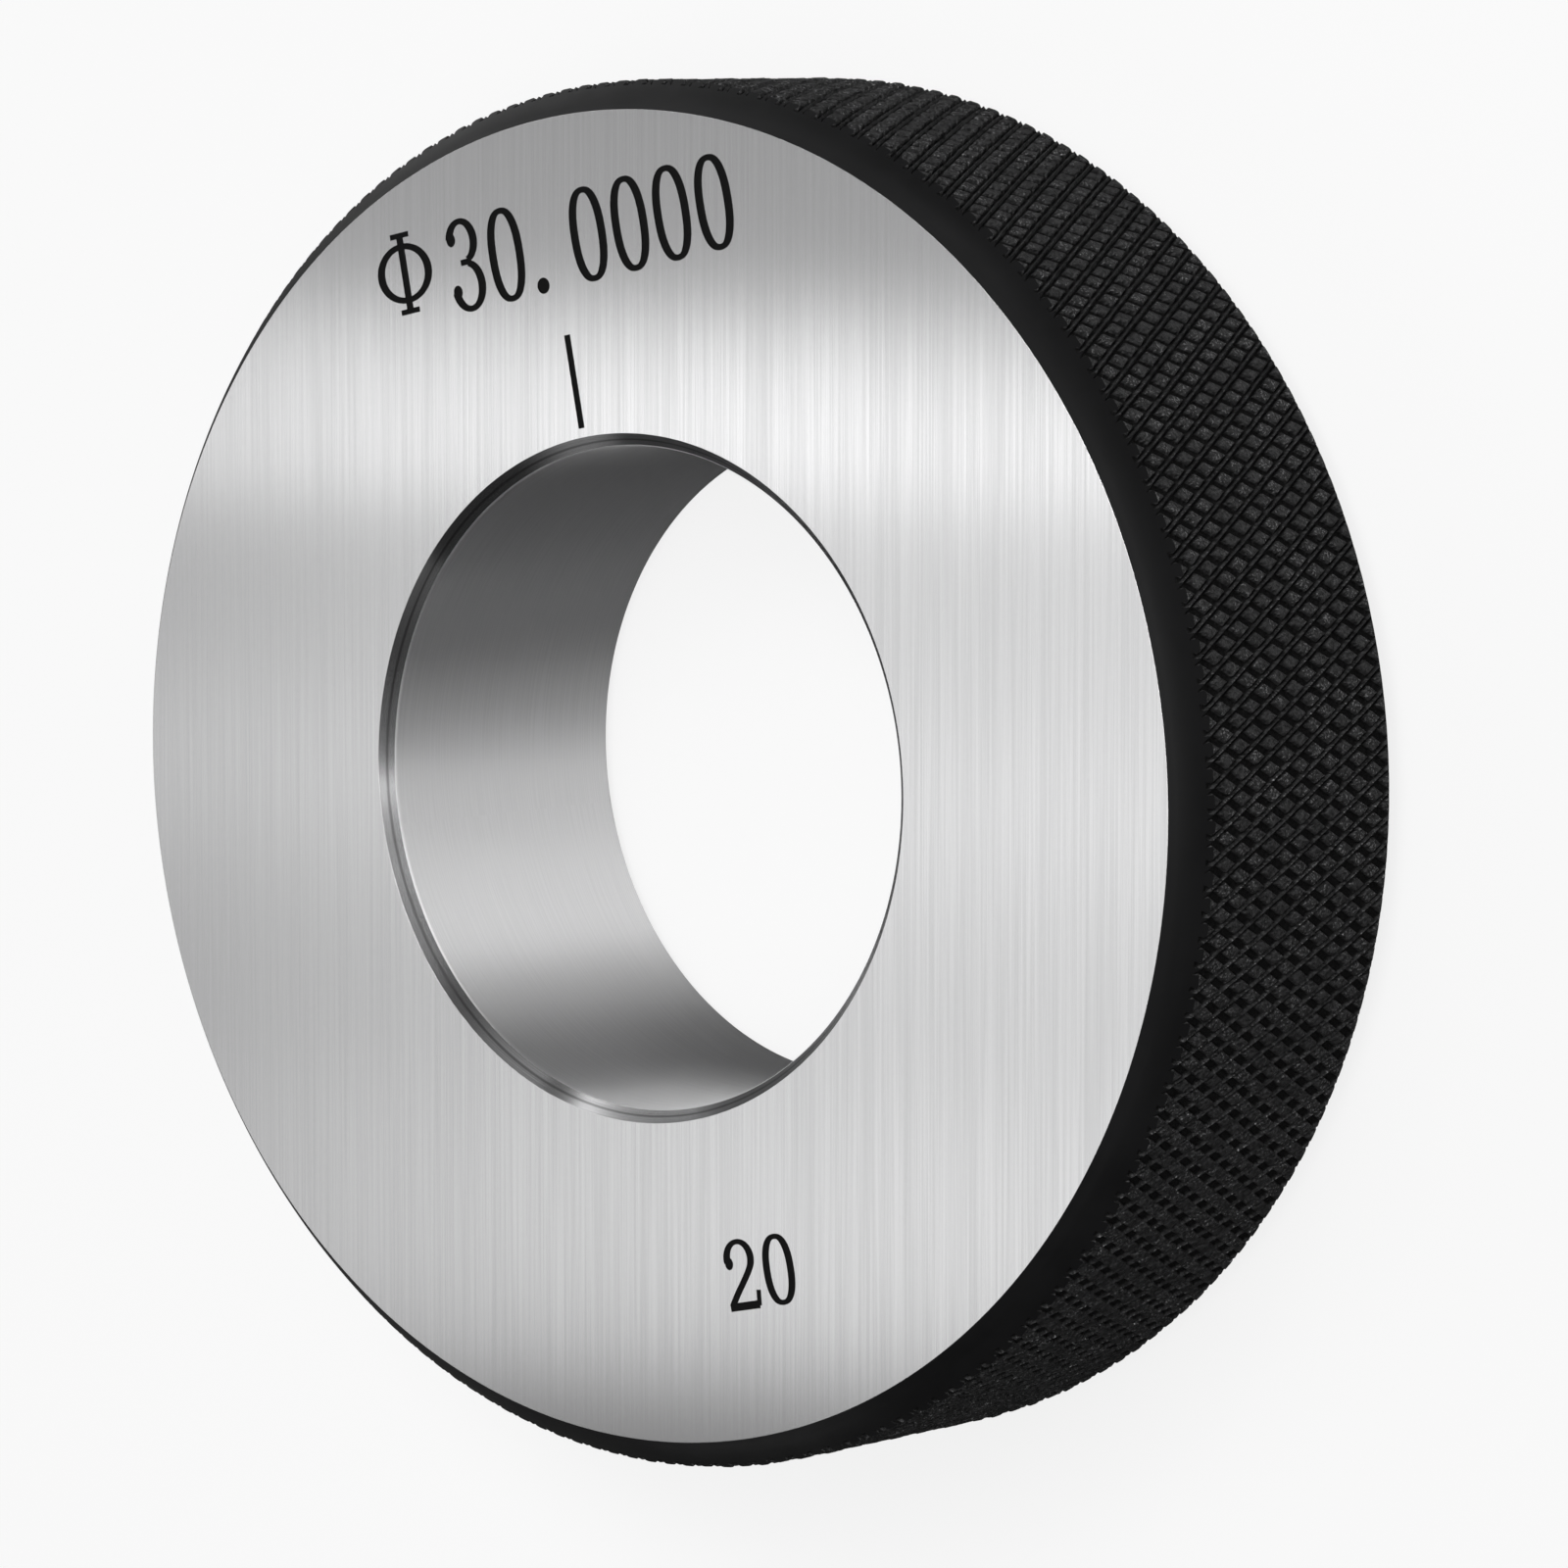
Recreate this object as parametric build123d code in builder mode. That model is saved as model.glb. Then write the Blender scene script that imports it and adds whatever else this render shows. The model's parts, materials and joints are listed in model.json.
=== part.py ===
from build123d import *
from math import cos, pi, radians, sin, tan
import os

# A setting ring gauge: one ring of hardened steel, turned, knurled and ground,
# that lies flat on its back face. Z is the axis of the bore, the origin is the
# centre of the back face, and +Y points at the size number on the front face.
# Lengths are in mm and angles in degrees.
bore_diameter = 30.0
outer_diameter = 63.0
face_diameter = 60.2
ring_width = 16.0

# The lead-in at each mouth of the bore is turned at 45 degrees.
lead_in = 0.6

# Each ground face meets the knurl at a bevel. The knurl is a whole number of
# rows high, so the bevels share what the rows leave of the width.
bevel_width = 1.5

# The diamond knurl: the pitch across its grooves, their angle to the axis, the
# height of the diamonds above the grooves, and the plain step from the grooves
# down to the bevels.
knurl_pitch = 1.0
knurl_angle = 27.5
diamond_height = 0.25
knurl_step = 0.05

bore_radius = bore_diameter / 2
face_radius = face_diameter / 2
tip_radius = outer_diameter / 2
groove_radius = tip_radius - diamond_height
core_radius = groove_radius - knurl_step

# Columns count diamonds round the rim and rows count half diamonds up it.
column_count = round(pi * outer_diameter * cos(radians(knurl_angle)) / knurl_pitch)
column_turn = 2 * pi / column_count
row_height = tip_radius * column_turn / tan(radians(knurl_angle)) / 2
row_count = round((ring_width - 2 * bevel_width) / row_height)
knurl_bottom = (ring_width - row_count * row_height) / 2
knurl_top = ring_width - knurl_bottom


def knurl_point(radius, column, row):
    """A point at this radius over a column and a row of the knurl."""
    turn = column * column_turn
    height = knurl_bottom + row * row_height
    return Vector(radius * cos(turn), radius * sin(turn), height)


def facet(*points):
    """The flat face between these points."""
    return Face(Wire.make_polygon(points, close=True))


def diamond(column, row):
    """The sides of one diamond, which rise from its four corners to its tip."""
    tip = knurl_point(tip_radius, column, row)
    sides = []
    for beside in (column - 0.5, column + 0.5):
        side_corner = knurl_point(groove_radius, beside, row)
        for beyond in (row - 1, row + 1):
            if 0 <= beyond <= row_count:
                end_corner = knurl_point(groove_radius, column, beyond)
                sides.append(facet(tip, side_corner, end_corner))
    return sides


def knurl_end(row):
    """The flat end of the knurl: its rim follows a row of diamonds cut in half."""
    rim = []
    for count in range(column_count):
        column = count + row / 2
        rim.append(knurl_point(tip_radius, column, row))
        rim.append(knurl_point(groove_radius, column + 0.5, row))
    level = Plane.XY.offset(knurl_bottom + row * row_height)
    return Face(Wire.make_polygon(rim, close=True), [Wire.make_circle(core_radius, level)])


with BuildPart() as turned_blank:
    with BuildSketch(Plane.XZ):
        with BuildLine():
            Polyline(
                (bore_radius, lead_in),
                (bore_radius + lead_in, 0),
                (face_radius, 0),
                (core_radius, knurl_bottom),
                (core_radius, knurl_top),
                (face_radius, ring_width),
                (bore_radius + lead_in, ring_width),
                (bore_radius, ring_width - lead_in),
                close=True,
            )
        make_face()
    revolve(axis=Axis.Z)

# The knurl takes the place of the blank's plain outer wall. Each row stands half
# a column on from the row below it.
walls = turned_blank.faces().filter_by(GeomType.CYLINDER)
outer_wall = walls.sort_by(SortBy.RADIUS)[-1]
ring_faces = [face for face in turned_blank.faces() if face != outer_wall]
ring_faces += [knurl_end(0), knurl_end(row_count)]
for row in range(row_count + 1):
    for count in range(column_count):
        ring_faces += diamond(count + row / 2, row)

with BuildPart() as gauge_ring:
    add(Solid(Shell(ring_faces)), clean=False)

gauge_ring.part.label = "gauge_ring"

os.makedirs("parts", exist_ok=True)
export_step(gauge_ring.part, "parts/gauge_ring.step")
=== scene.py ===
"""A setting ring gauge: ground faces, a lapped bore, a black knurled rim and engraved numbers."""

import json
from math import ceil, copysign, cos, pi, radians, sin, tan, tau

import bmesh
import bpy
from bpy.props import FloatProperty, FloatVectorProperty, IntProperty, PointerProperty
from bpy.types import Operator, Panel, PropertyGroup
from mathutils import Matrix, Vector


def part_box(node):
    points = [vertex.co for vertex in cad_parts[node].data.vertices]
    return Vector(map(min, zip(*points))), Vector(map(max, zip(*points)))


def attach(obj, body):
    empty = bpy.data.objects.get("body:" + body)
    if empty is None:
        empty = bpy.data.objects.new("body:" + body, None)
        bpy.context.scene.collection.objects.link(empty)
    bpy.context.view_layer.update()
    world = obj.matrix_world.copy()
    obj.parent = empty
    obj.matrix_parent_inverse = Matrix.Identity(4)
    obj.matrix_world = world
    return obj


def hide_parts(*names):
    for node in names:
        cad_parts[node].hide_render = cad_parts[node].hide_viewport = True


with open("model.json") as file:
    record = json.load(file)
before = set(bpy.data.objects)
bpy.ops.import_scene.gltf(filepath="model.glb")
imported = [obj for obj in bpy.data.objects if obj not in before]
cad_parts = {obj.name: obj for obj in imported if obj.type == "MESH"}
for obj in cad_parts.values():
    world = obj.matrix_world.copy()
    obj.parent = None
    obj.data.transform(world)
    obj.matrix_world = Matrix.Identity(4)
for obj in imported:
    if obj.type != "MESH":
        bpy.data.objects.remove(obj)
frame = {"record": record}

bl_info = {
    "name": "Setting ring gauge",
    "version": (1, 0, 0),
    "blender": (4, 5, 0),
    "location": "3D View > Sidebar > Ring gauge",
    "description": "Turns, knurls, engraves and finishes a setting ring gauge",
    "category": "Object",
}

MM = 0.001

# Lamps that the camera sees mirrored in the front face: the spot on the face, the distance
# from it, the shift across the grain, the width and height, all in mm, and the brightness.
FACE_LAMPS = {
    "face_panel": (0.0, -3.2, 150.0, 58.0, 140.0, 66.0, 1.00),
    "face_strip": (0.0, 17.6, 150.0, 14.0, 62.0, 12.8, 1.32),
    "face_glow": (0.0, -0.5, 300.0, 0.0, 300.0, 10.0, 0.45),
    "face_low": (0.0, -18.6, 150.0, 36.0, 120.0, 14.0, 0.21),
    "face_top": (0.0, 27.5, 300.0, 0.0, 260.0, 22.0, 0.23),
}
# Lamps around the ring: azimuth and elevation in degrees, distance, width and height in m,
# and the brightness.
SOFT_LAMPS = {
    "key": (21.0, 62.0, 0.70, 0.58, 0.26, 5.3),
    "key_core": (36.0, 62.0, 0.70, 0.31, 0.26, 4.4),
    "side_fill": (-28.0, 62.0, 0.70, 0.33, 0.26, 2.6),
    "high_side": (72.0, 59.0, 0.70, 0.26, 0.22, 4.9),
    "low_glow": (78.0, 24.0, 0.60, 0.34, 0.16, 0.4),
    "side_light": (-62.0, 30.0, 0.60, 0.36, 0.12, 0.20),
    "top_light": (126.0, 23.0, 0.60, 0.44, 0.16, 2.1),
    "back_light": (-128.0, 6.0, 0.60, 0.24, 0.10, 0.40),
}
NODE = "gauge_ring"
PIECE = "knurled_ring"
CAD_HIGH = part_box(NODE)[1]
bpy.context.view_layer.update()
BORE_MOUNT = next(m for m in frame["record"]["mounts"] if m["name"] == "bore")
# What shapes the knurl: names of its tree's inputs and, in small letters, of its properties.
KNURL_SHAPE = (
    "Foot", "Shoulder", "Crown", "Narrowing", "Shoulder Height", "Ridge Width", "Ridge Height",
    "Unevenness", "Raggedness",
)
# Textures: how many features of each one's noise lie in a metre.
KNURL_STRAY = 2500.0
KNURL_GRIT = 4500.0
KNURL_FLECKS = 9000.0
FLECK_PATCHES = 500.0
OXIDE_PATCHES = 300.0
FILL_GRIT = 15000.0
# The way to the studio's bright side.
BRIGHT_WAY = Vector((-0.85, 0.45, 0.15)).normalized()
# How many points stand for a ring of the engraving.
ROUND_POINTS = 48


# Sizes and colours

def length(name, description, default):
    return FloatProperty(name=name, description=description, default=default, unit="LENGTH", precision=5)


def angle(name, description, default):
    return FloatProperty(name=name, description=description, default=radians(default), unit="ROTATION")


def share(name, description, default):
    return FloatProperty(name=name, description=description, default=default, subtype="FACTOR")


def count(name, description, default):
    return IntProperty(name=name, description=description, default=default, min=0)


def colour(name, description, level, blue):
    """A grey whose blue part may stand a little above the rest."""
    return FloatVectorProperty(
        name=name, description=description, default=(level, level, blue, 1), size=4, subtype="COLOR",
    )


class BlankSizes(PropertyGroup):
    """The turned ring before it is knurled."""

    outer_diameter: length("Outer diameter", "Over the tips of the knurl", 2 * CAD_HIGH.x)
    width: length("Width", "Between the two ground faces", CAD_HIGH.z)
    bore_diameter: length("Bore", "The size that the gauge sets", 2 * MM * BORE_MOUNT["dims"]["r_mm"])
    face_diameter: length("Face diameter", "Where a ground face meets its bevel", 60.2 * MM)
    lead_in: length("Lead-in", "45 degree lead-in at each mouth of the bore", 0.6 * MM)
    bevel_angle: angle("Bevel angle", "Slope of the bevel where it leaves the ground face", 45.4)
    rim_angle: angle("Rim angle", "Slope of the bevel where it meets the knurl", 53.9)
    bevel_bend: length("Bevel bend", "From the face's edge out to where the bevel turns", 0.68 * MM)
    bevel_radius: length("Bevel radius", "Of the turn across the bevel", 8.0 * MM)
    face_edge: length("Face edge", "Radius stoned on the face's outer edge", 0.02 * MM)
    mouth_edge: length("Mouth edge", "Radius between the face and the lead-in", 0.015 * MM)
    bore_edge: length("Bore edge", "Radius between the lead-in and the bore", 0.22 * MM)
    stock: length("Stock", "What the blank has outside the knurl", 1.0 * MM)
    sharp_angle: angle("Sharp angle", "Least bend between two faces that stays a crisp edge", 28)
    facets: count("Facets", "Straight sides that stand for each circle", 352)
    edge_steps: count("Edge steps", "Facets across each rounded edge", 4)


class KnurlSizes(PropertyGroup):
    """The diamond knurl on the rim."""

    pitch: length("Pitch", "Between two grooves, across them", 1.0 * MM)
    angle: angle("Angle", "Between the grooves and the axis", 27.5)
    height: length("Diamond height", "From the grooves to the tops of the diamonds", 0.25 * MM)
    bevel_width: length("Bevel width", "Least width of the plain bevel beside the knurl", 1.5 * MM)
    foot: share("Foot", "Width of a diamond where its walls leave the groove floor, of the cell", 0.93)
    shoulder: share("Shoulder", "Width of a diamond where its walls end, of the cell", 0.74)
    crown: share("Crown", "Width of a diamond's flat top, of the cell", 0.56)
    narrowing: share("Narrowing", "How much narrower a diamond is across the grooves with no ridge", 0.26)
    shoulder_height: share("Shoulder height", "Where the walls end, of the diamond's height", 0.84)
    ridge_width: share("Ridge width", "Half the width of the ridge in a groove, of half the cell", 0.25)
    ridge_height: share("Ridge height", "Height of the ridge in a groove, of the diamond's height", 0.80)
    unevenness: share("Unevenness", "How much the diamonds differ in height", 0.20)
    raggedness: length("Raggedness", "How far the rolled metal strays from the pattern", 0.045 * MM)
    seed: count("Seed", "Picks the uneven heights", 7)


class MarkSizes(PropertyGroup):
    """The numbers and the line on the front face."""

    depth: length("Depth", "Of the engraving", 0.04 * MM)
    thick: length("Thick stroke", "Of the size, where it runs up the numeral", 0.47 * MM)
    thin: length("Thin stroke", "Of the size, where it runs across the numeral", 0.28 * MM)
    size_height: length("Size height", "Height of the size numerals", 4.32 * MM)
    size_width: length("Size width", "Width of a size numeral", 2.10 * MM)
    size_pitch: length("Size pitch", "From one size numeral to the next", 2.52 * MM)
    size_start: length("Size start", "Middle of the first size numeral, from the centre", -5.18 * MM)
    size_base: length("Size base", "Feet of the size numerals above the centre", 22.36 * MM)
    point_place: length("Point place", "Middle of the decimal point, from the centre", -0.73 * MM)
    point_size: length("Point size", "Radius of the decimal point", 0.37 * MM)
    sign_place: length("Sign place", "Middle of the sign, from the centre", -8.95 * MM)
    sign_base: length("Sign base", "Foot of the sign above the centre", 22.93 * MM)
    sign_height: length("Sign height", "Height of the sign over its bars", 3.79 * MM)
    sign_ring: length("Sign ring", "Height of the sign's ring", 2.76 * MM)
    sign_width: length("Sign width", "Width of the sign's ring", 3.40 * MM)
    number_thick: length("Number thick stroke", "Of the number, where it runs up", 0.41 * MM)
    number_thin: length("Number thin stroke", "Of the number, where it runs across", 0.24 * MM)
    number_height: length("Number height", "Height of the number", 3.22 * MM)
    number_width: length("Number width", "Width of a numeral of the number", 1.80 * MM)
    number_pitch: length("Number pitch", "Between the number's numerals", 2.24 * MM)
    number_start: length("Number start", "Middle of the number's first numeral", 1.73 * MM)
    number_base: length("Number base", "Feet of the number above the centre", -24.37 * MM)
    line_width: length("Line width", "Of the line between the size and the bore", 0.36 * MM)
    line_place: length("Line place", "Middle of the line, from the centre", 0.2 * MM)
    line_bottom: length("Line bottom", "Lower end of the line above the centre", 16.02 * MM)
    line_top: length("Line top", "Upper end of the line above the centre", 20.30 * MM)


class FinishColours(PropertyGroup):
    """Colours and gloss of the gauge's surfaces."""

    ground: colour("Ground steel", "The two faces", 0.635, 0.64)
    ground_dark: colour("Ground steel, dark grain", "The darker grinding lines", 0.575, 0.58)
    lapped: colour("Lapped steel", "The bore", 0.71, 0.715)
    lapped_dark: colour("Lapped steel, dark lines", "The darker lapping lines", 0.68, 0.685)
    turned: colour("Turned steel", "The lead-ins", 0.46, 0.465)
    turned_dark: colour("Turned steel, dark lines", "The darker turning lines", 0.36, 0.365)
    oxide: colour("Black oxide", "The bevels", 0.005, 0.0053)
    oxide_light: colour("Black oxide, light patches", "Where the oxide is thin", 0.008, 0.0084)
    # Painted shade: the near black that the knurl's colour fades to at the groove floors, standing for the
    # shade that falls in the grooves.
    groove: colour("Knurl grooves", "The grooves between the diamonds", 0.003, 0.003)
    diamond: colour("Knurl diamonds", "The walls and tops of the diamonds", 0.048, 0.049)
    fleck: colour("Knurl flecks", "Specks of bare steel on the diamonds", 0.30, 0.305)
    fill: colour("Engraving fill", "The black in the engraving", 0.004, 0.004)
    floor: colour("Floor", "The pale surface that the gauge lies on", 0.82, 0.82)
    bounce: colour("Floor bounce", "The floor as the gauge itself sees it", 0.02, 0.02)
    grain_angle: angle("Grain angle", "Of the grinding lines, clockwise from the numbers' upright", 11.7)


class StageSizes(PropertyGroup):
    """The camera and the light."""

    lens: FloatProperty(name="Lens", description="Focal length in mm on a 36 mm sensor", default=184.0)
    azimuth: angle("Azimuth", "Of the camera round the gauge, from +X", -3.23)
    elevation: angle("Elevation", "Of the camera above the floor", 50.05)
    roll: angle("Roll", "Of the camera about its own axis", -96.51)
    distance: length("Distance", "From the camera to the point it aims at", 366.2 * MM)
    aim_x: length("Aim X", "The point that the camera aims at", 2.0 * MM)
    aim_y: length("Aim Y", "The point that the camera aims at", -1.1 * MM)
    bright_side: share("Bright side", "The studio's light on its brighter side, where 1 is white", 0.44)
    dim_side: share("Dim side", "The studio's light on its dimmer side, where 1 is white", 0.04)
    fade_start: share("Fade start", "Cosine from the bright side at which the light starts to rise", 0.35)
    backdrop: share("Backdrop", "How white the floor and the backdrop look, where 1 is white", 0.955)
    shadow: share("Shadow", "How much of the gauge's shadow shows on the floor", 0.12)
    floor_reach: length("Floor reach", "From the gauge's middle to the edges of the floor", 3.0)


# Node helpers

def socket(sockets, key):
    """The socket at this index, or with this identifier, or else with this name."""
    if isinstance(key, int):
        return sockets[key]
    return next((s for s in sockets if s.identifier == key), None) or sockets[key]


def set_inputs(tree, node, inputs):
    """Sets these inputs of a node, or links them where the value is another node's output."""
    for key, value in inputs.items():
        target = socket(node.inputs, key)
        if isinstance(value, bpy.types.NodeSocket):
            tree.links.new(value, target)
        else:
            target.default_value = value


def add_node(tree, kind, inputs=None, **settings):
    """A node of this kind: settings set its properties, and inputs sets or links its sockets."""
    node = tree.nodes.new(kind)
    for key, value in settings.items():
        setattr(node, key, value)
    set_inputs(tree, node, inputs or {})
    return node


def calculate(tree, operation, *values):
    """The result of a Math node, for shader and geometry trees alike."""
    return add_node(tree, "ShaderNodeMath", dict(enumerate(values)), operation=operation).outputs[0]


def calculate_vector(tree, operation, first, second):
    """The vector that a Vector Math node makes of two others."""
    return add_node(tree, "ShaderNodeVectorMath", {0: first, 1: second}, operation=operation).outputs[0]


def weighted_sum(tree, *pairs):
    """The sum of some values times their weights, given as pairs of the two."""
    total = 0.0
    for value, weight in pairs:
        total = calculate(tree, "MULTIPLY_ADD", value, weight, total)
    return total


def vector_of(tree, x=0.0, y=0.0, z=0.0):
    """A vector made of three values."""
    return add_node(tree, "ShaderNodeCombineXYZ", {"X": x, "Y": y, "Z": z}).outputs[0]


def parts_of(tree, vector):
    """The x, y and z of a vector."""
    return add_node(tree, "ShaderNodeSeparateXYZ", {0: vector}).outputs


def position(tree):
    """Where each point of a geometry is."""
    return tree.nodes.new("GeometryNodeInputPosition").outputs[0]


def moved(tree, geometry, **inputs):
    """The geometry with its points set at Position or moved by Offset, where Selection holds."""
    return add_node(tree, "GeometryNodeSetPosition", {"Geometry": geometry, **inputs}).outputs[0]


def new_group(name, kind, inputs, outputs):
    """An empty node group with these sockets, and the outputs of its Group Input node."""
    tree = bpy.data.node_groups.new(name, kind)
    for side, sockets in (("INPUT", inputs), ("OUTPUT", outputs)):
        for label, socket_kind in sockets:
            tree.interface.new_socket(label, in_out=side, socket_type="NodeSocket" + socket_kind)
    return tree, tree.nodes.new("NodeGroupInput").outputs


# Geometry Nodes: the knurl

def diamond_shape(tree, given, math):
    """One diamond on its cell: groove floor, walls, crown and flat top, and half a ridge at two sides."""
    grid = add_node(tree, "GeometryNodeMeshGrid", {
        "Size X": 2.0, "Size Y": 2.0, "Vertices X": 4, "Vertices Y": 2,
    })
    x, y, _ = parts_of(tree, position(tree))
    middle = math("LESS_THAN", math("ABSOLUTE", x), 0.5)
    reach = math("SUBTRACT", 1.0, math("MULTIPLY", middle, given["Ridge Width"]))
    # The ridge has a negative height, by which the wrap tells it from the diamond.
    ridge = math("MULTIPLY", math("SUBTRACT", middle, 1.0), given["Ridge Height"])
    edged = vector_of(tree, math("MULTIPLY", math("SIGN", x), reach), y, ridge)
    cell = moved(tree, grid.outputs["Mesh"], Position=edged)
    slim = math("SUBTRACT", 1.0, given["Narrowing"])
    crown_rise = math("SUBTRACT", 1.0, given["Shoulder Height"])
    # Each level: its size beside the one below, how much slimmer it is, and its rise from there.
    levels = (
        (given["Foot"], slim, 0.0),
        (math("DIVIDE", given["Shoulder"], given["Foot"]), 1.0, given["Shoulder Height"]),
        (math("DIVIDE", given["Crown"], given["Shoulder"]), 1.0, crown_rise),
    )
    top = middle
    for shrink, squeeze, rise in levels:
        drawn = add_node(tree, "GeometryNodeExtrudeMesh", {
            "Mesh": cell, "Selection": top, "Offset Scale": rise,
        }, mode="FACES")
        top = drawn.outputs["Top"]
        scale = vector_of(tree, shrink, math("MULTIPLY", shrink, squeeze), 1.0)
        smaller = calculate_vector(tree, "MULTIPLY", position(tree), scale)
        cell = moved(tree, drawn.outputs["Mesh"], Selection=top, Position=smaller)
    # The square becomes a diamond half a column wide and one row high on each side.
    x, y, z = parts_of(tree, position(tree))
    leaned = vector_of(
        tree, math("DIVIDE", math("ADD", x, y), 4.0), math("DIVIDE", math("SUBTRACT", x, y), 2.0), z,
    )
    return moved(tree, cell, Position=leaned)


def knurl_tree():
    """The tree that lays diamonds on a lattice, wraps it round the rim and closes it to a drum."""
    tree, given = new_group("diamond_knurl", "GeometryNodeTree", (
        ("Columns", "Int"), ("Rows", "Int"), ("Row Height", "Float"), ("First Row", "Float"),
        ("Groove Radius", "Float"), ("Diamond Height", "Float"), ("Seed", "Int"), ("Finish", "Material"),
        *((name, "Float") for name in KNURL_SHAPE),
    ), (("Knurl", "Geometry"),))

    def math(operation, *values):
        return calculate(tree, operation, *values)

    # The lattice: each row stands half a column on from the row below it.
    total = math("MULTIPLY", given["Columns"], given["Rows"])
    points = add_node(tree, "GeometryNodePoints", {"Count": total})
    index = tree.nodes.new("GeometryNodeInputIndex").outputs[0]
    row = math("FLOOR", math("DIVIDE", math("ADD", index, 0.5), given["Columns"]))
    column = math("SUBTRACT", index, math("MULTIPLY", row, given["Columns"]))
    along = math("ADD", column, math("MULTIPLY", row, 0.5))
    tree.links.new(vector_of(tree, along, row), points.inputs["Position"])
    laid = add_node(tree, "GeometryNodeInstanceOnPoints", {
        "Points": points.outputs[0], "Instance": diamond_shape(tree, given, math),
    })
    chance = add_node(tree, "FunctionNodeRandomValue", {
        "Min_001": 0.0, "Max_001": 1.0, "Seed": given["Seed"],
    })
    marked = add_node(tree, "GeometryNodeStoreNamedAttribute", {
        "Geometry": laid.outputs[0], "Name": "cut", "Value": socket(chance.outputs, "Value_001"),
    }, domain="INSTANCE")
    loose = add_node(tree, "GeometryNodeRealizeInstances", {"Geometry": marked.outputs[0]})

    # Wrap: columns become turns about the axis and rows become heights.
    x, y, z = parts_of(tree, position(tree))
    cut = add_node(tree, "GeometryNodeInputNamedAttribute", {"Name": "cut"})
    drop = math("MULTIPLY", cut.outputs["Attribute"], given["Unevenness"])
    # Diamonds differ in height, and the ridges between them do not.
    uneven = math("MULTIPLY", z, math("SUBTRACT", 1.0, drop))
    rise = math("MAXIMUM", uneven, math("MULTIPLY", z, -1.0))
    radius = math("ADD", given["Groove Radius"], math("MULTIPLY", rise, given["Diamond Height"]))
    turn = math("DIVIDE", math("MULTIPLY", x, tau), given["Columns"])
    wrapped = vector_of(
        tree,
        math("MULTIPLY", radius, math("COSINE", turn)),
        math("MULTIPLY", radius, math("SINE", turn)),
        math("ADD", given["First Row"], math("MULTIPLY", y, given["Row Height"])),
    )
    skin = moved(tree, loose.outputs[0], Position=wrapped)
    # Points nearer to each other than a hundredth of a diamond's height become one.
    tight = math("MULTIPLY", given["Diamond Height"], 0.01)
    sewn = add_node(tree, "GeometryNodeMergeByDistance", {"Geometry": skin, "Distance": tight})
    # The rolled metal strays from the pattern, by up to the raggedness along each axis.
    stray = add_node(tree, "ShaderNodeTexNoise", {"Scale": KNURL_STRAY, "Detail": 0.0}).outputs["Color"]
    shift = add_node(tree, "ShaderNodeVectorMath", {
        0: calculate_vector(tree, "SUBTRACT", stray, (0.5, 0.5, 0.5)),
        "Scale": math("MULTIPLY", given["Raggedness"], 2.0),
    }, operation="SCALE")
    ragged = moved(tree, sewn.outputs[0], Offset=shift.outputs[0])

    # Close both ends: the open edges are drawn in to a point on the axis.
    faces = add_node(tree, "GeometryNodeInputMeshEdgeNeighbors").outputs[0]
    rim = add_node(tree, "FunctionNodeCompare", {
        "A_INT": faces, "B_INT": 1,
    }, data_type="INT", operation="EQUAL")
    ends = add_node(tree, "GeometryNodeExtrudeMesh", {
        "Mesh": ragged, "Selection": rim.outputs[0], "Offset Scale": 0.0,
    }, mode="EDGES")
    span = math("MULTIPLY", given["Rows"], given["Row Height"])
    middle = math("ADD", given["First Row"], math("MULTIPLY", span, 0.5))
    upper = math("GREATER_THAN", parts_of(tree, position(tree))["Z"], middle)
    apex = vector_of(tree, z=math("ADD", given["First Row"], math("MULTIPLY", upper, span)))
    drawn = moved(tree, ends.outputs["Mesh"], Selection=ends.outputs["Top"], Position=apex)
    drum = add_node(tree, "GeometryNodeMergeByDistance", {"Geometry": drawn, "Distance": tight})
    real = add_node(tree, "GeometryNodeRealizeInstances", {"Geometry": drum.outputs[0]})
    finish = add_node(tree, "GeometryNodeSetMaterial", {
        "Geometry": real.outputs[0], "Material": given["Finish"],
    })
    add_node(tree, "NodeGroupOutput", {0: finish.outputs[0]})
    return tree


def made_by_nodes(name, tree, values):
    """A mesh object that the tree makes with these values, with no modifier left on it."""
    thing = bpy.data.objects.new(name, bpy.data.meshes.new(name))
    bpy.context.collection.objects.link(thing)
    modifier = thing.modifiers.new(tree.name, "NODES")
    modifier.node_group = tree
    for item in tree.interface.items_tree:
        if item.in_out == "INPUT":
            modifier[item.identifier] = values[item.name]
    return applied(thing)


# Mesh helpers

def applied(thing):
    """The same object with what its modifiers make as its plain mesh."""
    depsgraph = bpy.context.evaluated_depsgraph_get()
    mesh = bpy.data.meshes.new_from_object(thing.evaluated_get(depsgraph), depsgraph=depsgraph)
    thing.modifiers.clear()
    thing.data = mesh
    mesh.name = thing.name
    return thing


def carved(thing, tool, operation, solver):
    """Cuts thing with tool, or keeps what they share, and deletes the tool."""
    cut = thing.modifiers.new(operation, "BOOLEAN")
    cut.operation = operation
    cut.object = tool
    cut.solver = solver
    cut.material_mode = "TRANSFER"
    if solver == "EXACT":
        cut.use_self = True
    applied(thing)
    bpy.data.objects.remove(tool)
    return thing


def mesh_object(name, bm, materials=()):
    """An object at the origin from a bmesh, with these materials."""
    bmesh.ops.recalc_face_normals(bm, faces=bm.faces)
    mesh = bpy.data.meshes.new(name)
    bm.to_mesh(mesh)
    bm.free()
    for material in materials:
        mesh.materials.append(material)
    thing = bpy.data.objects.new(name, mesh)
    bpy.context.collection.objects.link(thing)
    return thing


# The turned blank

FACE, BACK, LEAD_IN, BORE, BEVEL = range(5)


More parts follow.
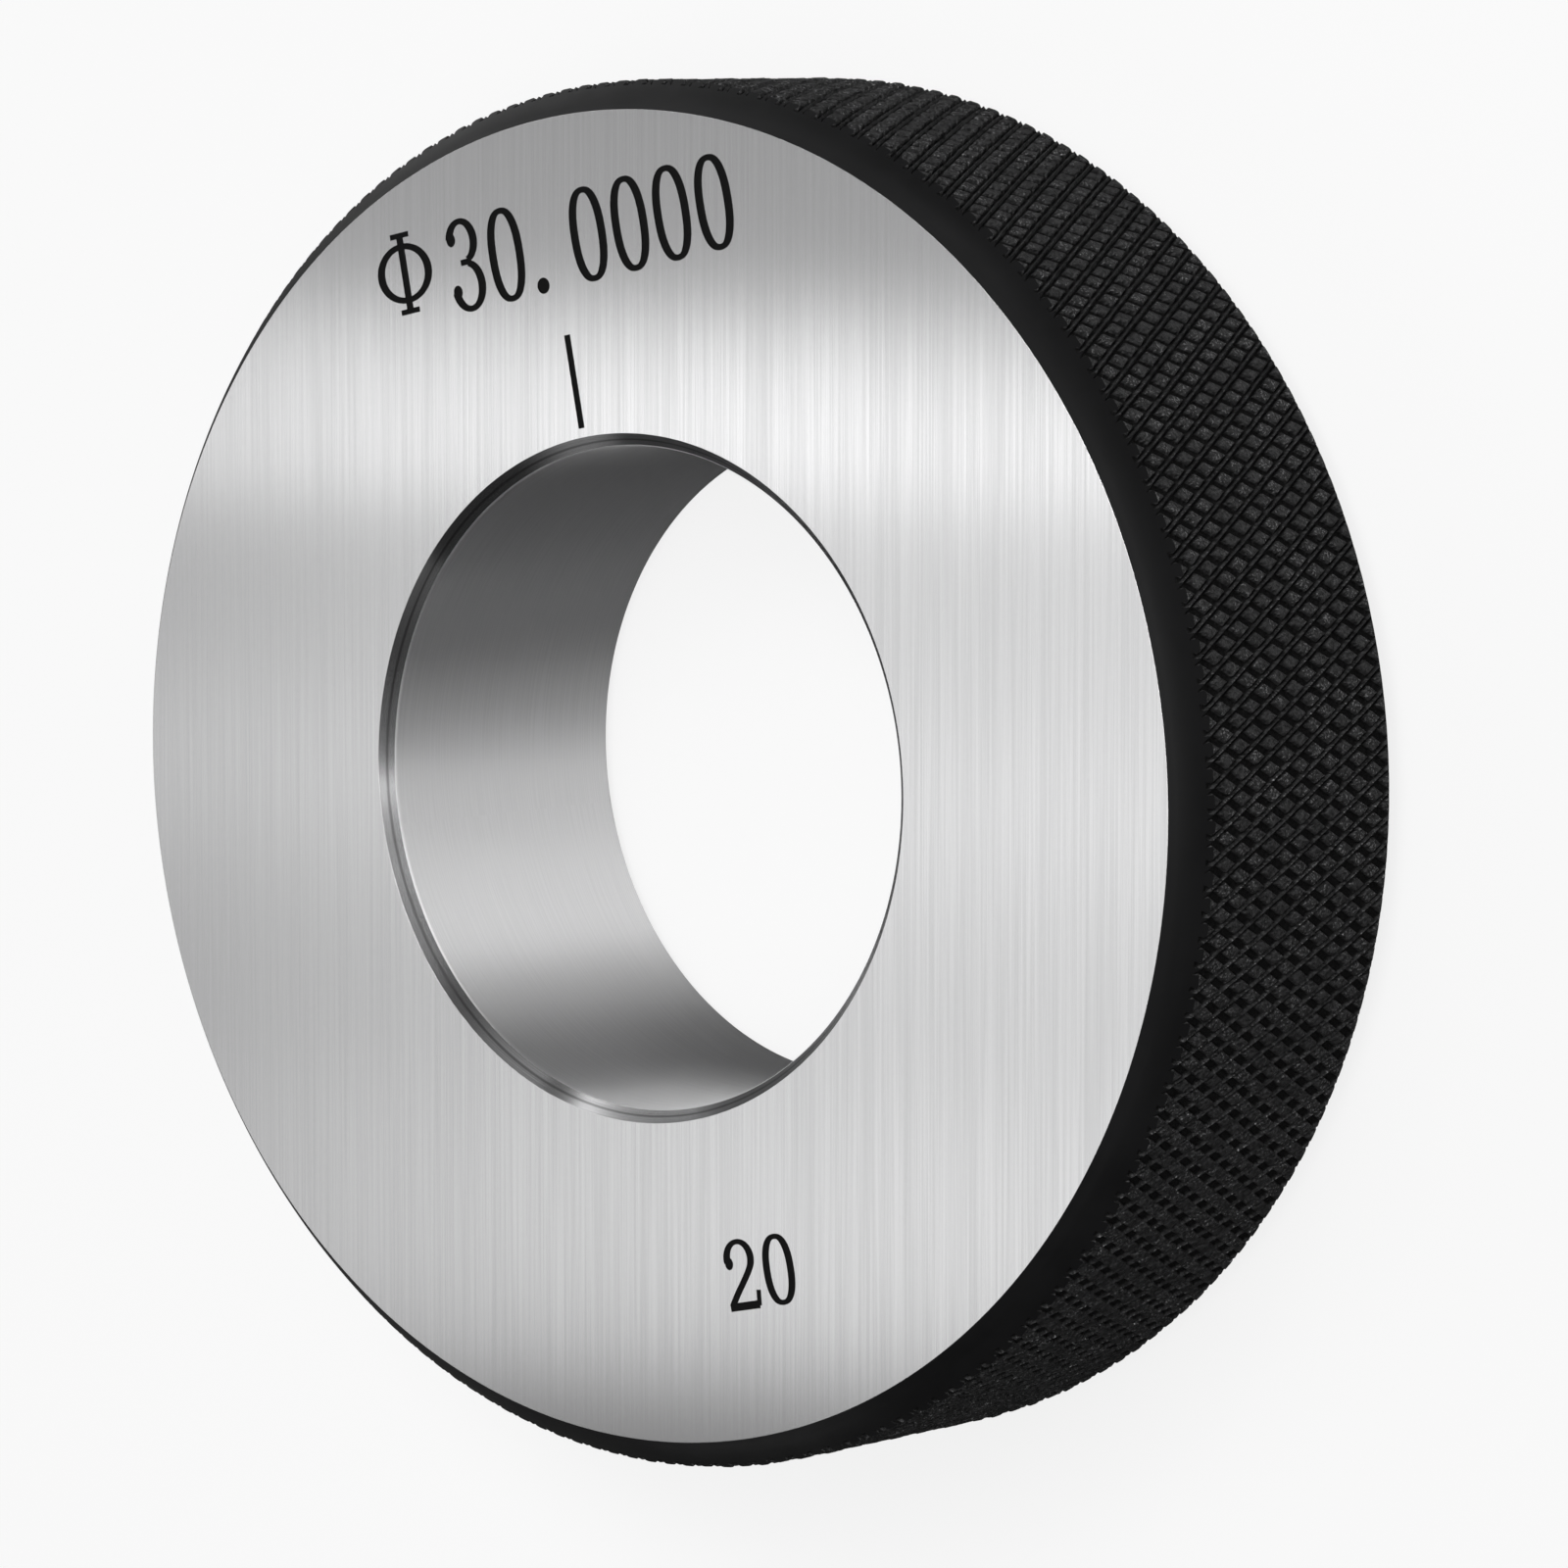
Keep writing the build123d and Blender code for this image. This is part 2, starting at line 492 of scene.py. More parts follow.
def rounded(corners, steps):
    """A closed outline of (point, finish of the side after it), with an arc at each rounded corner.

    corners holds (x, z, radius, finish of the side after the corner, finish of its arc)."""
    outline = []
    for i, (x, z, radius, side, arc) in enumerate(corners):
        corner = Vector((x, z))
        if not radius:
            outline.append((corner, side))
            continue
        back = (Vector(corners[i - 1][:2]) - corner).normalized()
        ahead = (Vector(corners[(i + 1) % len(corners)][:2]) - corner).normalized()
        half = back.angle(ahead) / 2
        middle = corner + (back + ahead).normalized() * radius / sin(half)
        start = corner + back * radius / tan(half) - middle
        end = corner + ahead * radius / tan(half) - middle
        sweep = start.angle_signed(end)
        for step in range(steps + 1):
            point = middle + Matrix.Rotation(-sweep * step / steps, 2) @ start
            outline.append((point, arc if step < steps else side))
    return outline


def turned(name, outline, facets, materials):
    """The closed ring that the outline makes when it is turned about Z."""
    bm = bmesh.new()
    rings = []
    for point, _ in outline:
        rings.append([
            bm.verts.new((point.x * cos(tau * k / facets), point.x * sin(tau * k / facets), point.y))
            for k in range(facets)
        ])
    for i, (_, finish) in enumerate(outline):
        ring, following = rings[i], rings[(i + 1) % len(rings)]
        for k in range(facets):
            n = (k + 1) % facets
            bm.faces.new((ring[k], ring[n], following[n], following[k])).material_index = finish
    return mesh_object(name, bm, materials)


# Strokes of the engraving

class Pen:
    """Cuts strokes in the front face: thick where they run up a numeral and thin across it."""

    def __init__(self, bm, thick, thin, depth, top):
        self.bm = bm
        self.thick, self.thin = thick, thin
        self.low, self.high = top - depth, top + depth

    def stroke(self, points, closed=False, even=None):
        """One stroke along points, or round them, with its width from its slope or the same throughout."""
        rows = []
        last = len(points) - 1
        for i, point in enumerate(points):
            if closed:
                run = points[(i + 1) % len(points)] - points[i - 1]
            else:
                run = points[min(i + 1, last)] - points[max(i - 1, 0)]
            run.normalize()
            width = even or self.thin + (self.thick - self.thin) * run.y ** 2
            beside = Vector((-run.y, run.x)) * width / 2
            rows.append([
                self.bm.verts.new((*(point + side * beside), z))
                for side in (1, -1) for z in (self.low, self.high)
            ])
        spans = list(zip(rows, rows[1:]))
        if closed:
            spans.append((rows[-1], rows[0]))
        for (a, b, c, d), (e, f, g, h) in spans:
            for corners in ((a, e, f, b), (b, f, h, d), (d, h, g, c), (c, g, e, a)):
                self.bm.faces.new(corners)
        if not closed:
            for a, b, c, d in (rows[0], rows[-1]):
                self.bm.faces.new((a, b, d, c))

    def dot(self, centre, radius_x, radius_y, sides=20):
        """A round dot, or the ball at the end of a stroke."""
        rings = [[
            self.bm.verts.new((*(centre + Vector((radius_x * cos(turn), radius_y * sin(turn)))), z))
            for turn in (tau * k / sides for k in range(sides))
        ] for z in (self.low, self.high)]
        for ring in rings:
            self.bm.faces.new(ring)
        for k in range(sides):
            n = (k + 1) % sides
            self.bm.faces.new((rings[0][k], rings[0][n], rings[1][n], rings[1][k]))


def arc(centre, radius_x, radius_y, start, end, steps=24):
    """Points along part of an ellipse, with angles in degrees."""
    turns = [radians(start + (end - start) * k / steps) for k in range(steps + 1)]
    return [centre + Vector((radius_x * cos(t), radius_y * sin(t))) for t in turns]


def bezier(a, b, c, d, steps=16):
    """Points along a cubic curve from a to d."""
    out = []
    for k in range(steps + 1):
        t = k / steps
        s = 1 - t
        out.append(a * s ** 3 + b * 3 * s * s * t + c * 3 * s * t * t + d * t ** 3)
    return out


def numeral_nought(pen, foot, width, height):
    """0: one tall ring, a little fuller than an ellipse."""
    centre = foot + Vector((0, height / 2))
    fullness = 0.86
    ring = []
    for k in range(ROUND_POINTS):
        across, up = cos(tau * k / ROUND_POINTS), sin(tau * k / ROUND_POINTS)
        fuller = Vector((copysign(abs(across) ** fullness, across), copysign(abs(up) ** fullness, up)))
        ring.append(centre + fuller * Vector((width - pen.thick, height - pen.thin)) / 2)
    pen.stroke(ring, closed=True)


def numeral_two(pen, foot, width, height):
    """2: a hook that starts in a ball, a slanting stem and a heavy foot with a raised toe."""
    half = (width - pen.thick) / 2
    rise = height * 0.24
    head = foot + Vector((0, height - rise - pen.thin / 2))
    hook = arc(head, half, rise, 190, -20)
    heel = foot + Vector((-half - pen.thick * 0.15, pen.thick * 0.45))
    bend = hook[-1] + Vector((-0.05, -0.15)) * height
    approach = heel + Vector((0.06, 0.15)) * height
    stem = bezier(hook[-1], bend, approach, heel)
    pen.stroke(hook + stem[1:])
    pen.dot(hook[0] + Vector((pen.thick * 0.2, -pen.thick * 0.1)), pen.thick * 0.58, pen.thick * 0.7)
    base = foot + Vector((0, pen.thick * 0.45))
    pen.stroke([base + Vector((x, 0)) for x in (-width / 2, 0, width * 0.47)], even=pen.thick * 0.9)
    toe = foot + Vector((width * 0.45, pen.thick * 0.3))
    pen.stroke([toe, toe + Vector((pen.thin * 0.3, height * 0.22))], even=pen.thin * 1.1)


def numeral_three(pen, foot, width, height):
    """3: two bowls that meet at the middle, each ending in a ball."""
    half = (width - pen.thick) / 2
    upper = foot + Vector((-half * 0.06, height * 0.755))
    lower = foot + Vector((0, height * 0.275))
    high_bowl = arc(upper, half * 0.9, height * 0.245 - pen.thin / 2, 170, -75)
    low_bowl = arc(lower, half, height * 0.275 - pen.thin / 2, 80, -170)
    waist = foot + Vector((0, height * 0.53))
    pen.stroke(high_bowl)
    pen.stroke(low_bowl)
    pen.stroke([waist + Vector((half * x, 0)) for x in (-0.35, 0.3)], even=pen.thin)
    for end in (high_bowl[0], low_bowl[-1]):
        pen.dot(end + Vector((pen.thick * 0.2, 0)), pen.thick * 0.58, pen.thick * 0.68)


def diameter_sign(pen, foot, width, height, ring_height):
    """The sign for a diameter: a ring with an upright through it and a short bar at each end."""
    centre = foot + Vector((0, height / 2))
    ring = arc(centre, (width - pen.thick) / 2, (ring_height - pen.thin) / 2, 0, 360, ROUND_POINTS)[:-1]
    pen.stroke(ring, closed=True)
    reach = Vector((0, (height - pen.thin) / 2))
    pen.stroke([centre - reach, centre + reach], even=pen.thick * 0.88)
    bar = Vector((width * 0.17, 0))
    for end in (centre - reach, centre + reach):
        pen.stroke([end - bar, end + bar], even=pen.thin * 0.9)


# Materials

def ramp(tree, value, low, high, to_low=0.0, to_high=1.0):
    """Eases from to_low to to_high while value goes from low to high."""
    return add_node(tree, "ShaderNodeMapRange", {
        "Value": value, "From Min": low, "From Max": high, "To Min": to_low, "To Max": to_high,
    }, interpolation_type="SMOOTHSTEP").outputs["Result"]


def blend(tree, factor, first, second):
    """A colour between two others."""
    mixed = add_node(tree, "ShaderNodeMix", {
        "Factor_Float": factor, "A_Color": first, "B_Color": second,
    }, data_type="RGBA")
    return socket(mixed.outputs, "Result_Color")


def noise(tree, vector, detail=2.0, scale=1.0):
    """Noise with about this many features to one unit of the vector."""
    return add_node(tree, "ShaderNodeTexNoise", {
        "Vector": vector, "Scale": scale, "Detail": detail,
    }).outputs["Fac"]


def bumped(tree, height, strength, distance):
    """The surface's normal where this height moves it by up to this distance."""
    return add_node(tree, "ShaderNodeBump", {
        "Height": height, "Strength": strength, "Distance": distance,
    }).outputs[0]


def ground_grain():
    """Group: the straight lines that a grinding wheel leaves, as a value about 0.5."""
    tree, given = new_group("ground_grain", "ShaderNodeTree", (
        ("Vector", "Vector"), ("Angle", "Float"), ("Line Width", "Float"), ("Line Length", "Float"),
    ), (("Lines", "Float"), ("Fine Lines", "Float")))
    turned_to = add_node(tree, "ShaderNodeVectorRotate", {
        "Vector": given["Vector"], "Angle": given["Angle"],
    }, rotation_type="Z_AXIS").outputs[0]

    def lines(width, reach, seed):
        across = calculate(tree, "DIVIDE", 1.0, calculate(tree, "MULTIPLY", given["Line Width"], width))
        along = calculate(tree, "DIVIDE", 1.0, calculate(tree, "MULTIPLY", given["Line Length"], reach))
        laid = calculate_vector(tree, "MULTIPLY", turned_to, vector_of(tree, across, along))
        return noise(tree, calculate_vector(tree, "ADD", laid, (0.0, 0.0, seed)))

    fine = lines(1.0, 1.0, 3.7)
    medium = lines(4.0, 1.6, 11.3)
    broad = lines(16.0, 2.5, 27.1)
    lot = weighted_sum(tree, (fine, 0.45), (medium, 0.33), (broad, 0.22))
    add_node(tree, "NodeGroupOutput", {"Lines": lot, "Fine Lines": fine})
    return tree


def from_axis(tree, vector):
    """How far the point at this vector is from the axis."""
    x, y, _ = parts_of(tree, vector)
    return calculate(tree, "SQRT", weighted_sum(tree, (x, x), (y, y)))


def turning_lines():
    """Group: fine rings about the axis that a tool or a lap leaves, as a value about 0.5."""
    tree, given = new_group("turning_lines", "ShaderNodeTree", (
        ("Vector", "Vector"), ("Line Width", "Float"),
    ), (("Lines", "Float"),))
    x, y, z = parts_of(tree, given["Vector"])
    # This way changes along upright, level and 45 degree walls alike, so that rings show on each.
    way = weighted_sum(tree, (from_axis(tree, given["Vector"]), 1.0), (z, 0.73))
    across = calculate(tree, "DIVIDE", way, given["Line Width"])
    around = calculate(tree, "MULTIPLY", calculate(tree, "ARCTAN2", y, x), 2.0)
    add_node(tree, "NodeGroupOutput", {"Lines": noise(tree, vector_of(tree, across, around), detail=3.0)})
    return tree


def material_tree(name):
    """A new material, its tree, its Principled shader and its Object coordinates."""
    material = bpy.data.materials.new(name)
    material.use_nodes = True
    tree = material.node_tree
    here = tree.nodes.new("ShaderNodeTexCoord").outputs["Object"]
    return material, tree, tree.nodes["Principled BSDF"], here


def ground_steel(name, finish, grain, lean, facing):
    """Bright steel with straight grinding lines, on a face that looks up (1) or down (-1)."""
    material, tree, shader, here = material_tree(name)
    grinding = add_node(tree, "ShaderNodeGroup", {
        "Vector": here, "Angle": lean, "Line Width": 0.045 * MM, "Line Length": 11 * MM,
    }, node_tree=grain)
    lines = grinding.outputs["Lines"]
    # The reflections spread across the lines, so the tangent lies across them.
    across = add_node(tree, "ShaderNodeTangent", direction_type="RADIAL", axis="Y")
    set_inputs(tree, shader, {
        "Base Color": blend(tree, ramp(tree, lines, 0.36, 0.64), finish.ground_dark, finish.ground),
        "Metallic": 1.0,
        "Roughness": ramp(tree, lines, 0.3, 0.7, 0.26, 0.22),
        "Normal": bumped(tree, grinding.outputs["Fine Lines"], 0.06, 0.02 * MM),
        "Tangent": across.outputs[0],
        "Anisotropic": 1.0,
        "Anisotropic Rotation": 0.5 - facing * lean / tau,
    })
    return material


def turned_steel(name, light, dark, lines, width, rough, spread, mark=0.0):
    """Bright steel with fine rings about the axis, and one dark ring where mark gives its radius."""
    material, tree, shader, here = material_tree(name)
    rings = add_node(tree, "ShaderNodeGroup", {"Vector": here, "Line Width": width}, node_tree=lines)
    shade = ramp(tree, rings.outputs["Lines"], 0.35, 0.65)
    base = blend(tree, shade, dark, light)
    if mark:
        off = calculate(tree, "ABSOLUTE", calculate(tree, "SUBTRACT", from_axis(tree, here), mark))
        stain = ramp(tree, off, 0.01 * MM, 0.07 * MM, 0.55, 0.0)
        base = blend(tree, stain, base, (0.03, 0.03, 0.03, 1))
    set_inputs(tree, shader, {
        "Base Color": base,
        "Metallic": 1.0,
        "Roughness": ramp(tree, shade, 0.0, 1.0, rough * 1.06, rough * 0.94),
        "Anisotropic": spread,
        "Anisotropic Rotation": 0.25,
    })
    return material


def black_oxide(finish, lines):
    """Satin black oxide over turned steel, with faint rings and thin patches."""
    material, tree, shader, here = material_tree("black_bevel")
    rings = add_node(tree, "ShaderNodeGroup", {"Vector": here, "Line Width": 0.09 * MM}, node_tree=lines)
    patches = noise(tree, here, 4.0, OXIDE_PATCHES)
    shade = weighted_sum(tree, (rings.outputs["Lines"], 0.4), (patches, 0.6))
    set_inputs(tree, shader, {
        "Base Color": blend(tree, ramp(tree, shade, 0.4, 0.6), finish.oxide, finish.oxide_light),
        "Roughness": ramp(tree, shade, 0.35, 0.65, 0.36, 0.30),
        "Specular IOR Level": 0.34,
    })
    return material


def black_knurl(finish, groove_radius, height):
    """Black oxide on the diamonds, with painted shade that darkens it towards the groove floors, grit, and
    bright flecks on the tops.
    """
    material, tree, shader, here = material_tree("black_knurl")
    above = calculate(tree, "SUBTRACT", from_axis(tree, here), groove_radius)
    rise = calculate(tree, "DIVIDE", above, height)
    # Painted shade: clear rises from 0 at the groove floors to 1 part way up the walls. With the grit, it
    # fades the colour from the near-black groove colour to the diamond colour, for the shade in the
    # grooves.
    clear = ramp(tree, rise, 0.12, 0.42)
    top = ramp(tree, rise, 0.50, 0.68)
    grit = noise(tree, here, 4.0, KNURL_GRIT)
    shade = calculate(tree, "MULTIPLY", clear, ramp(tree, grit, 0.35, 0.65, 0.30, 1.0))
    speckle = ramp(tree, noise(tree, here, 1.0, KNURL_FLECKS), 0.58, 0.66)
    patch = ramp(tree, noise(tree, here, 2.0, FLECK_PATCHES), 0.42, 0.56)
    bare = calculate(tree, "MULTIPLY", calculate(tree, "MULTIPLY", speckle, patch), top)
    set_inputs(tree, shader, {
        # Painted shade in the grooves, under the flecks of bare steel.
        "Base Color": blend(tree, bare, blend(tree, shade, finish.groove, finish.diamond), finish.fleck),
        "Metallic": calculate(tree, "MULTIPLY", bare, 0.8),
        "Roughness": ramp(tree, clear, 0.0, 1.0, 0.70, 0.42),
        "Normal": bumped(tree, grit, 1.0, 0.22 * MM),
        "Specular IOR Level": 0.30,
    })
    return material


def engraving_fill(finish):
    """The dull black in the engraving."""
    material, tree, shader, here = material_tree("engraving_fill")
    grit = noise(tree, here, scale=FILL_GRIT)
    set_inputs(tree, shader, {
        "Base Color": finish.fill,
        "Roughness": ramp(tree, grit, 0.3, 0.7, 0.7, 0.9),
        "Normal": bumped(tree, grit, 0.3, 0.01 * MM),
        "Specular IOR Level": 0.08,
    })
    return material


def pale_floor(pale, bounce, white, shadow):
    """A pale floor that the camera sees nearly white, with part of the shadow that falls on it."""
    material = bpy.data.materials.new("pale_floor")
    material.use_nodes = True
    tree = material.node_tree
    tree.nodes.clear()
    seen = tree.nodes.new("ShaderNodeLightPath").outputs["Is Camera Ray"]
    lit = add_node(tree, "ShaderNodeBsdfPrincipled", {
        "Base Color": blend(tree, seen, bounce, pale), "Roughness": 0.30, "IOR": 1.8,
        "Specular IOR Level": ramp(tree, seen, 0.0, 1.0, 1.0, 0.0),
    })
    plain = add_node(tree, "ShaderNodeEmission", {"Color": (white, white, white, 1), "Strength": 1.0})
    mixed = add_node(tree, "ShaderNodeMixShader", {
        0: calculate(tree, "MULTIPLY", seen, 1 - shadow), 1: lit.outputs[0], 2: plain.outputs[0],
    })
    add_node(tree, "ShaderNodeOutputMaterial", {"Surface": mixed.outputs[0]})
    return material


def direction(azimuth, elevation):
    """The way to a point at this azimuth from +X and this elevation above the floor."""
    return Vector((cos(elevation) * cos(azimuth), cos(elevation) * sin(azimuth), sin(elevation)))


def studio_world(stage):
    """Soft light that fades from the bright side of the studio to the dim side, before a white backdrop."""
    world = bpy.data.worlds.new("studio")
    world.use_nodes = True
    tree = world.node_tree
    way = tree.nodes.new("ShaderNodeTexCoord").outputs["Generated"]
    side = add_node(tree, "ShaderNodeVectorMath", {
        0: way, 1: BRIGHT_WAY,
    }, operation="DOT_PRODUCT").outputs["Value"]
    soft = ramp(tree, side, stage.fade_start, 1.0, stage.dim_side, stage.bright_side)
    seen = tree.nodes.new("ShaderNodeLightPath").outputs["Is Camera Ray"]
    strength = add_node(tree, "ShaderNodeMix", {
        "Factor_Float": seen, "A_Float": soft, "B_Float": stage.backdrop,
    })
    set_inputs(tree, tree.nodes["Background"], {
        "Color": (1, 1, 1, 1), "Strength": socket(strength.outputs, "Result_Float"),
    })
    return world


def panel_lamp(name, place, back, along, width, height, brightness):
    """A flat lamp that looks this bright, where 1 is white.

    back points out of its back, and along follows its width."""
    lamp = bpy.data.lights.new(name, "AREA")
    lamp.shape = "RECTANGLE"
    lamp.size, lamp.size_y = width, height
    lamp.energy = brightness * pi * width * height
    thing = bpy.data.objects.new(name, lamp)
    bpy.context.collection.objects.link(thing)
    side = (along - back * along.dot(back)).normalized()
    facing = Matrix((side, back.cross(side), back)).transposed().to_4x4()
    thing.matrix_world = Matrix.Translation(place) @ facing
    thing.visible_camera = False
    return thing


def mirrored_lamp(name, eye, across_grain, width_of_ring, spec):
    """A long lamp across the grain that the camera at eye sees mirrored at a spot on the front face."""
    spot_x, spot_y, reach, shift, width, height, brightness = spec
    spot = Vector((spot_x * MM, spot_y * MM, width_of_ring))
    way = (spot - eye).normalized()
    way.z = -way.z
    side = (across_grain - way * across_grain.dot(way)).normalized()
    place = spot + way * reach * MM + side * shift * MM
    return panel_lamp(name, place, way, across_grain, width * MM, height * MM, brightness)


# Operators

class RINGGAUGE_OT_turn_blank(Operator):
    """Turns the ring: bore, lead-ins, ground faces and bevels, with stock left outside the knurl"""

    bl_idname = "ringgauge.turn_blank"
    bl_label = "Turn the blank"

    def execute(self, context):
        blank = context.scene.ring_blank
        finish = context.scene.ring_finish
        bore, face = blank.bore_diameter / 2, blank.face_diameter / 2
        stock = blank.outer_diameter / 2 + blank.stock
        bend = face + blank.bevel_bend
        bend_height = blank.bevel_bend * tan(blank.bevel_angle)
        stock_height = bend_height + (stock - bend) * tan(blank.rim_angle)
        # Corners from the bore outwards: radius, depth below the face, rounding and its finish.
        corners = [
            (bore, blank.lead_in, blank.bore_edge, BORE),
            (bore + blank.lead_in, 0, blank.mouth_edge, FACE),
            (face, 0, blank.face_edge, FACE),
            (bend, bend_height, blank.bevel_radius, BEVEL),
            (stock, stock_height, 0, BEVEL),
        ]
        outward = (LEAD_IN, BACK, BEVEL, BEVEL, BEVEL)
        inward = (BEVEL, BEVEL, FACE, LEAD_IN, BORE)
        outline = [
            (x, depth, radius, side, BACK if edge == FACE else edge)
            for (x, depth, radius, edge), side in zip(corners, outward)
        ]
        outline += [
            (x, blank.width - depth, radius, side, edge)
            for (x, depth, radius, edge), side in zip(reversed(corners), inward)
        ]
        grain, rings = ground_grain(), turning_lines()
        materials = [
            ground_steel("ground_face", finish, grain, finish.grain_angle, 1),
            ground_steel("ground_back", finish, grain, finish.grain_angle, -1),
            turned_steel(
                "turned_lead_in", finish.turned, finish.turned_dark, rings, width=0.03 * MM,
                rough=0.19, spread=0.4, mark=bore + 0.52 * blank.lead_in,
            ),
            turned_steel(
                "lapped_bore", finish.lapped, finish.lapped_dark, rings, width=0.05 * MM,
                rough=0.50, spread=1.0,
            ),
            black_oxide(finish, rings),
        ]
        turned(PIECE, rounded(outline, blank.edge_steps), blank.facets, materials)
        return {"FINISHED"}


class RINGGAUGE_OT_engrave_marks(Operator):
    """Engraves the size, the line and the small number in the front face"""

    bl_idname = "ringgauge.engrave_marks"
    bl_label = "Engrave the marks"

    def execute(self, context):
        marks = context.scene.ring_marks
        top = context.scene.ring_blank.width
        finish = context.scene.ring_finish
        bm = bmesh.new()
        pen = Pen(bm, marks.thick, marks.thin, marks.depth, top)
        sign_foot = Vector((marks.sign_place, marks.sign_base))
        diameter_sign(pen, sign_foot, marks.sign_width, marks.sign_height, marks.sign_ring)
        # The size has two numerals, a gap as wide as one for the point, and four more numerals.
        for place, numeral in enumerate((numeral_three, numeral_nought, None, *[numeral_nought] * 4)):
            foot = Vector((marks.size_start + place * marks.size_pitch, marks.size_base))
            if numeral:
                numeral(pen, foot, marks.size_width, marks.size_height)
        point = Vector((marks.point_place, marks.size_base + marks.point_size))
        pen.dot(point, marks.point_size, marks.point_size)
        line = [Vector((marks.line_place, y)) for y in (marks.line_bottom, marks.line_top)]
        pen.stroke(line, even=marks.line_width)
        small = Pen(bm, marks.number_thick, marks.number_thin, marks.depth, top)
        for place, numeral in enumerate((numeral_two, numeral_nought)):
            foot = Vector((marks.number_start + place * marks.number_pitch, marks.number_base))
            numeral(small, foot, marks.number_width, marks.number_height)
        cutter = mesh_object("engraving_cutter", bm, [engraving_fill(finish)])
        carved(bpy.data.objects[PIECE], cutter, "DIFFERENCE", "EXACT")
        return {"FINISHED"}


class RINGGAUGE_OT_knurl_rim(Operator):
    """Rolls the diamond knurl into the rim, which the bevels then cut off at both ends"""

    bl_idname = "ringgauge.knurl_rim"
    bl_label = "Knurl the rim"

    def execute(self, context):
        blank, knurl = context.scene.ring_blank, context.scene.ring_knurl
        finish = context.scene.ring_finish
        tips = blank.outer_diameter / 2
        columns = round(tau * tips * cos(knurl.angle) / knurl.pitch)
        row_height = pi * tips / columns / tan(knurl.angle)
        rows = round((blank.width - 2 * knurl.bevel_width) / row_height)
        knurl_bottom = (blank.width - rows * row_height) / 2
        beyond = ceil(knurl_bottom / row_height)
        groove_radius = tips - knurl.height - knurl.raggedness
        drum = made_by_nodes("knurl_drum", knurl_tree(), {
            "Columns": columns,
            "Rows": rows + 1 + 2 * beyond,
            "Row Height": row_height,
            "First Row": knurl_bottom - beyond * row_height,
            "Groove Radius": groove_radius,
            "Diamond Height": knurl.height,
            "Seed": knurl.seed,
            "Finish": black_knurl(finish, groove_radius, knurl.height),
            **{name: getattr(knurl, name.lower().replace(" ", "_")) for name in KNURL_SHAPE},
        })
        bm = bmesh.new()
        bm.from_mesh(drum.data)
        bmesh.ops.recalc_face_normals(bm, faces=bm.faces)
        open_edges = sum(1 for e in bm.edges if not e.is_manifold)
        bm.to_mesh(drum.data)
        bm.free()
        if open_edges:
            raise RuntimeError(f"the knurl has {open_edges} open edges")
        carved(bpy.data.objects[PIECE], drum, "INTERSECT", "MANIFOLD")
        return {"FINISHED"}


class RINGGAUGE_OT_finish_ring(Operator):
    """Shades the ring's curves smooth, keeps its edges crisp and sets it in the CAD frame"""

    bl_idname = "ringgauge.finish_ring"
    bl_label = "Finish the ring"

    def execute(self, context):
        ring = bpy.data.objects[PIECE]
        ring.data.shade_smooth()
        ring.data.set_sharp_from_angle(angle=context.scene.ring_blank.sharp_angle)
        # The modifier takes areas within 0.01 of each other as equal, so it works on the ring in mm.
        ring.data.transform(Matrix.Scale(1 / MM, 4))
        weighted = ring.modifiers.new("weighted", "WEIGHTED_NORMAL")
        weighted.keep_sharp = True
        weighted.weight = 100
        applied(ring)
        ring.data.transform(Matrix.Scale(MM, 4))
        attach(ring, "root")
        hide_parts(NODE)
        return {"FINISHED"}


